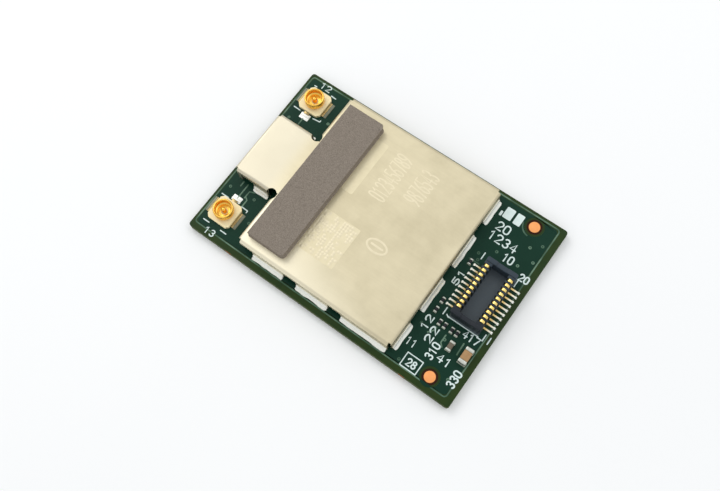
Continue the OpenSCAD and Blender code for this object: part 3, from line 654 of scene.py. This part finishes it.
foam = bmesh.new()
foam_size = foam_high - foam_low
bmesh.ops.create_grid(foam, x_segments=40, y_segments=154, size=0.5)
bmesh.ops.scale(foam, verts=foam.verts, vec=(foam_size.x, foam_size.y, 1))
bmesh.ops.translate(foam, verts=foam.verts,
                    vec=((foam_low.x + foam_high.x) / 2, (foam_low.y + foam_high.y) / 2,
                         foam_low.z))
for vert in foam.verts:
    for corner_y, side in ((foam_low.y + FOAM_CORNER, -1), (foam_high.y - FOAM_CORNER, 1)):
        u = (vert.co.x - foam_high.x + FOAM_CORNER) / FOAM_CORNER
        v = (vert.co.y - corner_y) * side / FOAM_CORNER
        if u > 0 and v > 0:
            vert.co.x = foam_high.x - FOAM_CORNER + FOAM_CORNER * u * math.sqrt(1 - v * v / 2)
            vert.co.y = corner_y + side * FOAM_CORNER * v * math.sqrt(1 - u * u / 2)
layers = 7
skin = foam.faces[:]
for layer in range(layers):
    raised = bmesh.ops.extrude_face_region(foam, geom=skin)
    if layer:
        bmesh.ops.delete(foam, geom=skin, context="FACES_ONLY")
    skin = [each for each in raised["geom"] if isinstance(each, bmesh.types.BMFace)]
    lifted = [each for each in raised["geom"] if isinstance(each, bmesh.types.BMVert)]
    bmesh.ops.translate(foam, verts=lifted, vec=(0, 0, foam_size.z / layers))
bmesh.ops.recalc_face_normals(foam, faces=foam.faces)
crushed = [edge for edge in sharp_edges(foam, 50)
           if all(vert.co.z > foam_high.z - 1e-4 for vert in edge.verts)]
bmesh.ops.bevel(foam, geom=crushed, offset=FOAM_EDGE, segments=3, profile=0.5,
                affect="EDGES", material=-1, clamp_overlap=True)
foam.normal_update()
for vert in foam.verts:
    share = (vert.co.z - foam_low.z) / foam_size.z
    if share > 0.01:
        bow = 0.05 * math.sin(math.pi * min(share, 1)) + 0.03
        rough = noise.noise(vert.co * 6.5) * FOAM_CELL + noise.noise(vert.co * 1.1) * 0.012
        inward = -(FOAM_CELL + 0.012) + rough
        pinch = -bow if abs(vert.normal.z) < 0.5 else 0
        vert.co += vert.normal * (inward + pinch * 0.6)
bmesh.ops.scale(foam, verts=foam.verts, vec=(MM, MM, MM))

foam_skin = Finish("foam_grey", {"Specular IOR Level": 0.12, "Roughness": 0.95})
pores = foam_skin.cells(11)
specks = foam_skin.clouds(16, 3, 0.7)
dents_and_shade = foam_skin.step(foam_skin.cells(0.9), 0.13, 0.05)
body = foam_skin.mix(foam_skin.step(specks, 0.32, 0.68), srgb(122, 112, 101), srgb(156, 145, 133))
# Painted shade: the pores and the dents are painted darker, as the shade that falls in them.
pores_painted_shade = foam_skin.mix(0.45 * foam_skin.step(pores, 0.35, 0.1), body, srgb(86, 78, 68))
foam_skin.vary("Base Color", foam_skin.mix(0.3 * dents_and_shade, pores_painted_shade, srgb(92, 84, 76)))
foam_skin.relief(pores * 0.8 + specks * 0.6 - dents_and_shade, 0.05)
strip = add_piece("foam_pad", foam, foam_skin, "foam", ["foam_strip"])


# ---- Coaxial sockets ----
# A gold-plated brass barrel and a centre pin, both moulded into a square ivory base. The
# barrel is drawn from sheet, with a rolled rim, a snap neck and a lip round the floor; the
# strips under the base end in tabs that are soldered to tinned lands.

socket_places = {"far": Vector((-12.75, 7.35, BOARD_TOP)),
                 "near": Vector((-12.75, -7.05, BOARD_TOP))}
BARREL_R = 1.0
BARREL_WALL = 0.2
NECK_R = 0.84
BASE_H = 0.35
SEAT_H = 0.23
NECK_TOP = 0.6
SOCKET_H = 1.25
FLOOR_R = 0.34
PIN_R = 0.225
PIN_TOP = 1.05
TAB_END = 1.58
TAB_T = 0.12
GROUND_TAB_HALF = 0.85
SIGNAL_TAB_HALF = 0.3

gold = Finish("gold_plate", {"Metallic": 1.0})
worn_gold = gold.clouds(2.2, 3)
plated = gold.mix(worn_gold, srgb(244, 186, 74), srgb(250, 202, 100))
# The tabs low down are painted dull grey-green: partly the solder-wetted tin on them, partly painted
# shade under the base.
soldered_and_shaded = gold.step(gold.along("Z"), 0.96, 0.9)
gold.vary("Base Color", gold.mix(soldered_and_shaded, plated, srgb(118, 120, 102)))
gold.vary("Roughness", 0.2 + 0.12 * gold.clouds(5, 3))
gold.relief(gold.clouds(9, 3), 0.006)

ivory = Finish("ivory_moulding", {"Specular IOR Level": 0.4})
ivory.vary("Base Color", ivory.mix(ivory.clouds(1.5, 3), srgb(253, 232, 176),
                                   srgb(255, 244, 204)))
ivory.vary("Roughness", 0.42 + 0.15 * ivory.clouds(8, 2))
ivory.relief(ivory.clouds(16, 2), 0.006)


def turned(profile, centre, steps=80):
    """Spins a closed profile of (radius, height) points about an upright axis."""
    mesh = bmesh.new()
    verts = [mesh.verts.new((radius, 0, height)) for radius, height in profile]
    for first, second in zip(verts, verts[1:] + verts[:1]):
        mesh.edges.new((first, second))
    bmesh.ops.spin(mesh, geom=mesh.verts[:] + mesh.edges[:], cent=(0, 0, 0), axis=(0, 0, 1),
                   angle=math.tau, steps=steps, use_merge=True)
    bmesh.ops.remove_doubles(mesh, verts=mesh.verts, dist=1e-5)
    bmesh.ops.recalc_face_normals(mesh, faces=mesh.faces)
    bmesh.ops.translate(mesh, verts=mesh.verts, vec=centre)
    bmesh.ops.scale(mesh, verts=mesh.verts, vec=(MM, MM, MM))
    return mesh


def slab(mesh, low, high, edge=0.02):
    """Adds a block between two corners in millimetres, with eased edges."""
    low, high = Vector(low), Vector(high)
    block = bmesh.new()
    size = high - low
    place = Matrix.Translation((low + high) / 2 * MM)
    bmesh.ops.create_cube(block, size=1, matrix=place @ Matrix.Diagonal((*(size * MM), 1)))
    return join(mesh, soften(block, edge))


rim_r = BARREL_WALL / 2
bore_r = BARREL_R - BARREL_WALL
neck_bore_r = NECK_R - BARREL_WALL
rim = [(bore_r + rim_r + x, SOCKET_H - rim_r + y) for x, y in arc(0, 0, rim_r, 0, 180, 10)]
barrel_profile = [(neck_bore_r, SEAT_H), (NECK_R, SEAT_H), (NECK_R, NECK_TOP - 0.03),
                  (BARREL_R, NECK_TOP + 0.02), *rim, (bore_r, NECK_TOP + 0.13),
                  (bore_r - 0.04, NECK_TOP + 0.09), (neck_bore_r + 0.05, NECK_TOP + 0.08),
                  (neck_bore_r, NECK_TOP + 0.03), (neck_bore_r, BASE_H + 0.04),
                  (FLOOR_R, BASE_H + 0.03), (FLOOR_R, BASE_H - 0.03), (neck_bore_r, BASE_H - 0.03)]
dome = [(PIN_R * math.cos(math.radians(a)), PIN_TOP - 0.16 + 0.16 * math.sin(math.radians(a)))
        for a in range(0, 86, 12)]
pin_profile = [(0.004, 0.05), (PIN_R, 0.05), *dome, (0.004, PIN_TOP)]

for name, centre in socket_places.items():
    towards = -1 if name == "far" else 1
    x, y, z = centre
    shell = turned(barrel_profile, centre)
    for side in (-1, 1):
        inner, outer = sorted((x + side * neck_bore_r, x + side * TAB_END))
        slab(shell, (inner, y - GROUND_TAB_HALF, z), (outer, y + GROUND_TAB_HALF, z + TAB_T))
    add_piece(f"{name}_barrel", shell, gold, "gold_plate", [f"{name}_socket_shell"])
    pin = turned(pin_profile, centre, 40)
    low_end, high_end = sorted((y + towards * TAB_END, y))
    slab(pin, (x - SIGNAL_TAB_HALF, low_end, z), (x + SIGNAL_TAB_HALF, high_end, z + TAB_T))
    add_piece(f"{name}_centre_pin", pin, gold, "gold_plate", [f"{name}_socket_pin"])
    base = cad_copy(f"{name}_socket_base")
    add_piece(f"{name}_moulding", soften(base, 0.035), ivory, "ivory_resin",
              [f"{name}_socket_base"])

tinned = Finish("tinned_land", {"Metallic": 0.4})
signal_side = tinned.step(tinned.along("X"), -11.8, -12.1)
dull_tin = tinned.mix(tinned.clouds(2, 3), srgb(150, 156, 140), srgb(186, 190, 174))
tinned.vary("Base Color", tinned.mix(signal_side, dull_tin, srgb(246, 248, 242)))
tinned.vary("Roughness", 0.3 + 0.2 * tinned.clouds(5, 3))
tinned.relief(tinned.clouds(8, 2), 0.012)
tab_tin = Finish("tab_solder_tin", {"Metallic": 0.3})
beside_tab = tab_tin.node("ShaderNodeMath", {"operation": "ABSOLUTE"},
                          {0: tab_tin.along("X") - socket_places["far"].x})
# Painted shade: the ground tabs' solder, beside and under the base, is painted dark; only the signal
# tab's solder stays bright.
shaded_solder = tab_tin.mix(tab_tin.clouds(3, 3), srgb(104, 108, 90), srgb(136, 138, 118))
tab_tin.vary("Base Color", tab_tin.mix(tab_tin.step(beside_tab, 0.9, 0.7), shaded_solder,
                                       srgb(250, 250, 244)))
tab_tin.vary("Roughness", 0.3 + 0.2 * tab_tin.clouds(6, 3))
tab_tin.relief(tab_tin.clouds(7, 3), 0.015)
lands = bmesh.new()
LAND_TOP = PLANE_TOP + 0.012
land_places = [
    (-13.25, -12.2, 5.2, 5.9), (-13.25, -12.2, -5.6, -4.95),
    (-11.5, -11.12, 6.6, 8.1), (-11.5, -11.12, -7.8, -6.3),
]
for x0, x1, y0, y1 in land_places:
    join(lands, sheet_with_holes(x0, x1, y0, y1, 0.08, [], BOARD_TOP - 0.01, LAND_TOP, 0.02))
add_piece("socket_lands", lands, tinned, "tin")
tab_solder = cad_copy("socket_solder")
add_piece("tab_solder", soften(tab_solder, 0.03), tab_tin, "solder", ["socket_solder"])


# ---- Board-to-board connector ----
# A black moulded housing with a deep trough. Each gold-plated contact is a punched strip,
# bent over a rib in the long wall and out at the bottom as a tail on its tinned land.

housing_low, housing_high = (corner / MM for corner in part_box("connector_housing"))
CONNECTOR = Vector(((housing_low.x + housing_high.x) / 2, (housing_low.y + housing_high.y) / 2,
                    BOARD_TOP))
CONTACTS = 10
PITCH = 0.5
CONTACT_W = 0.25
TAIL_W = 0.17
STRIP_T = 0.1
TROUGH_HALF = 0.85
INNER_LEG = 0.12
ARCH_X = 0.38
ARCH_Z = 1.59
ARCH_R = 0.26
LEG_FOOT_Z = 0.45
TAIL_END = 1.47

black_resin = Finish("black_moulding", {"Specular IOR Level": 0.35})
# Painted sheen: the top is painted lighter towards the far end, standing in for the highlights on the far
# block, and everything lower than 1.2 mm is painted lighter, standing in for the sheen on the trough
# floor.
far_end_painted_sheen = black_resin.step(black_resin.along("Y") + black_resin.clouds(0.8, 3), -2.6, 3.9)
top_tone_and_sheen = black_resin.mix(far_end_painted_sheen, srgb(20, 27, 35), srgb(46, 58, 68))
low_parts_painted_sheen = black_resin.step(black_resin.along("Z"), 1.5, 1.2)
black_resin.vary("Base Color", black_resin.mix(low_parts_painted_sheen, top_tone_and_sheen, srgb(76, 86, 94)))
black_resin.vary("Roughness", 0.36 + 0.2 * black_resin.clouds(6, 3))
black_resin.relief(black_resin.clouds(20, 2) + black_resin.clouds(3, 2), 0.008)
housing = cad_copy("connector_housing")
add_piece("connector_moulding", soften(housing, 0.018), black_resin, "black_resin",
          ["connector_housing"])

contact_metal = Finish("contact_plating", {"Metallic": 1.0})
golden = contact_metal.mix(contact_metal.clouds(3), srgb(250, 210, 104), srgb(255, 234, 156))
pale = contact_metal.mix(contact_metal.clouds(3), srgb(226, 222, 200), srgb(244, 240, 224))
from_middle = contact_metal.node("ShaderNodeMath", {"operation": "ABSOLUTE"},
                                 {0: contact_metal.along("X") - CONNECTOR.x})
worn_tail = contact_metal.mix(contact_metal.step(from_middle, 1.7, 2.25), srgb(206, 176, 112), pale)
contact_metal.vary("Base Color", contact_metal.mix(
    contact_metal.step(contact_metal.along("Z"), 1.0, 1.5), worn_tail, golden))
contact_metal.vary("Roughness", 0.2 + 0.14 * contact_metal.clouds(6))

strip_line = [(INNER_LEG, LEG_FOOT_Z)]
strip_line += [(ARCH_X - ARCH_R * math.cos(math.radians(a)),
                ARCH_Z + ARCH_R * math.sin(math.radians(a))) for a in range(0, 181, 15)]
strip_line += [(0.79 - 0.15 * math.cos(math.radians(a)), 0.2 - 0.15 * math.sin(math.radians(a)))
               for a in range(0, 91, 18)]
strip_line += [(TAIL_END, 0.05)]

one_contact = bmesh.new()
line_verts = [one_contact.verts.new((TROUGH_HALF + x, -CONTACT_W / 2, z)) for x, z in strip_line]
for first, second in zip(line_verts, line_verts[1:]):
    one_contact.edges.new((first, second))
drawn = bmesh.ops.extrude_edge_only(one_contact, edges=one_contact.edges[:])
bmesh.ops.translate(one_contact, vec=(0, CONTACT_W, 0),
                    verts=[each for each in drawn["geom"] if isinstance(each, bmesh.types.BMVert)])
bmesh.ops.recalc_face_normals(one_contact, faces=one_contact.faces)
bmesh.ops.solidify(one_contact, geom=one_contact.faces[:], thickness=STRIP_T)
bmesh.ops.recalc_face_normals(one_contact, faces=one_contact.faces)
contact_low = min(vert.co.z for vert in one_contact.verts)
bmesh.ops.translate(one_contact, verts=one_contact.verts, vec=(0, 0, -contact_low))
for vert in one_contact.verts:
    if vert.co.x > TROUGH_HALF + ARCH_X and vert.co.z < 0.3:
        vert.co.y *= TAIL_W / CONTACT_W
bmesh.ops.bevel(one_contact, geom=sharp_edges(one_contact, 60), offset=0.012, segments=1,
                profile=0.5, affect="EDGES", material=-1, clamp_overlap=True)
contact_data = bpy.data.meshes.new("one_contact")
one_contact.to_mesh(contact_data)
one_contact.free()

for name, side in (("inboard", -1), ("outboard", 1)):
    row = bmesh.new()
    for i in range(CONTACTS):
        before = set(row.verts)
        row.from_mesh(contact_data)
        made = [vert for vert in row.verts if vert not in before]
        if side < 0:
            bmesh.ops.rotate(row, verts=made, matrix=Matrix.Rotation(math.pi, 3, "Z"))
        bmesh.ops.translate(row, verts=made,
                            vec=CONNECTOR + Vector((0, (i - (CONTACTS - 1) / 2) * PITCH, 0)))
    bmesh.ops.scale(row, verts=row.verts, vec=(MM, MM, MM))
    add_piece(f"{name}_contacts", row, contact_metal, "gold_plate", [f"contacts_{name}"])

tail_lands = bmesh.new()
for side in (-1, 1):
    for i in range(CONTACTS):
        y = CONNECTOR.y + (i - (CONTACTS - 1) / 2) * PITCH
        x0, x1 = sorted((CONNECTOR.x + side * 1.62, CONNECTOR.x + side * 2.5))
        join(tail_lands, sheet_with_holes(x0, x1, y - 0.09, y + 0.09, 0.05, [], BOARD_TOP - 0.01,
                                          LAND_TOP, 0.015))
add_piece("tail_lands", tail_lands, tinned, "tin")
tail_solder = cad_copy("connector_solder")
add_piece("tail_solder", soften(tail_solder, 0.015), solder, "solder", ["connector_solder"])


# ---- Chips beside the connector ----
# Fired ceramic capacitors and resistors. Their dipped and plated ends are slightly swollen,
# and sit in small solder fillets on tinned lands.

def ceramic(name, dark, light):
    finish = Finish(name, {"Specular IOR Level": 0.35})
    finish.vary("Base Color", finish.mix(finish.clouds(3, 4, 0.65), srgb(*dark), srgb(*light)))
    finish.vary("Roughness", 0.4 + 0.2 * finish.clouds(10, 2))
    finish.relief(finish.clouds(20, 3), 0.01)
    return finish


tan_ceramic = ceramic("tan_ceramic", (158, 118, 74), (186, 150, 106))
brown_ceramic = ceramic("brown_ceramic", (92, 82, 68), (128, 116, 98))
chip_resin = ceramic("chip_resin", (20, 21, 24), (34, 35, 40))

tin = Finish("tin_plated_ends", {"Metallic": 0.9})
tin.vary("Base Color", tin.mix(tin.clouds(4, 3), srgb(176, 178, 168), srgb(224, 226, 216)))
tin.vary("Roughness", 0.26 + 0.22 * tin.clouds(7, 3))
tin.relief(tin.clouds(14, 3), 0.014)

small_chips = [
    ("large_capacitor", tan_ceramic, "tan_ceramic", 0.05),
    ("supply_resistor", brown_ceramic, "brown_ceramic", 0.03),
    ("signal_resistors", chip_resin, "chip_resin", 0.015),
]
for node, finish, slot, edge in small_chips:
    add_piece(f"{node}_body", soften(cad_copy(node), edge), finish, slot, [node])
end_nodes = [("large_capacitor_ends", 0.07), ("supply_resistor_ends", 0.04),
             ("signal_resistor_ends", 0.03)]
for node, edge in end_nodes:
    add_piece(f"{node}_plated", soften(cad_copy(node), edge, 3), tin, "tin", [node])

LAND_SIDE = 0.03
LAND_END = 0.039
chip_lands = bmesh.new()
for node, _ in end_nodes:
    ends = cad_copy(node)
    for verts in islands(ends):
        xs = [vert.co.x / MM for vert in verts]
        ys = [vert.co.y / MM for vert in verts]
        join(chip_lands, sheet_with_holes(min(xs) - LAND_SIDE, max(xs) + LAND_SIDE,
                                          min(ys) - LAND_END, max(ys) + LAND_END, 0.05, [],
                                          BOARD_TOP - 0.01, LAND_TOP + 0.01, 0.02))
    ends.free()
add_piece("chip_lands", chip_lands, tinned, "tin")


# ---- Chips under the can ----
# The radio, memory and power parts that the can screens. They can only be glimpsed through
# its windows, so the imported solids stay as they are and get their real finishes.

def paint(finish, *nodes):
    """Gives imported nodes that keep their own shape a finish."""
    for node in nodes:
        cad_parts[node].material_slots[0].material = finish.material


crystal_gold = Finish("crystal_lid_gold", {"Metallic": 1.0})
crystal_gold.vary("Base Color", crystal_gold.mix(crystal_gold.clouds(2), srgb(226, 190, 110),
                                                 srgb(240, 210, 140)))
crystal_gold.vary("Roughness", 0.3 + 0.15 * crystal_gold.clouds(8))
white_ceramic = ceramic("white_ceramic", (214, 208, 190), (234, 230, 216))
paint(chip_resin, "radio_chip", "memory_chip", "front_end_chips", "power_regulator",
      "bias_resistors")
paint(white_ceramic, "reference_crystal", "antenna_filters")
paint(crystal_gold, "crystal_lid")
paint(brown_ceramic, "power_inductor", "filter_capacitors")
paint(tin, "filter_capacitor_ends", "bias_resistor_ends")
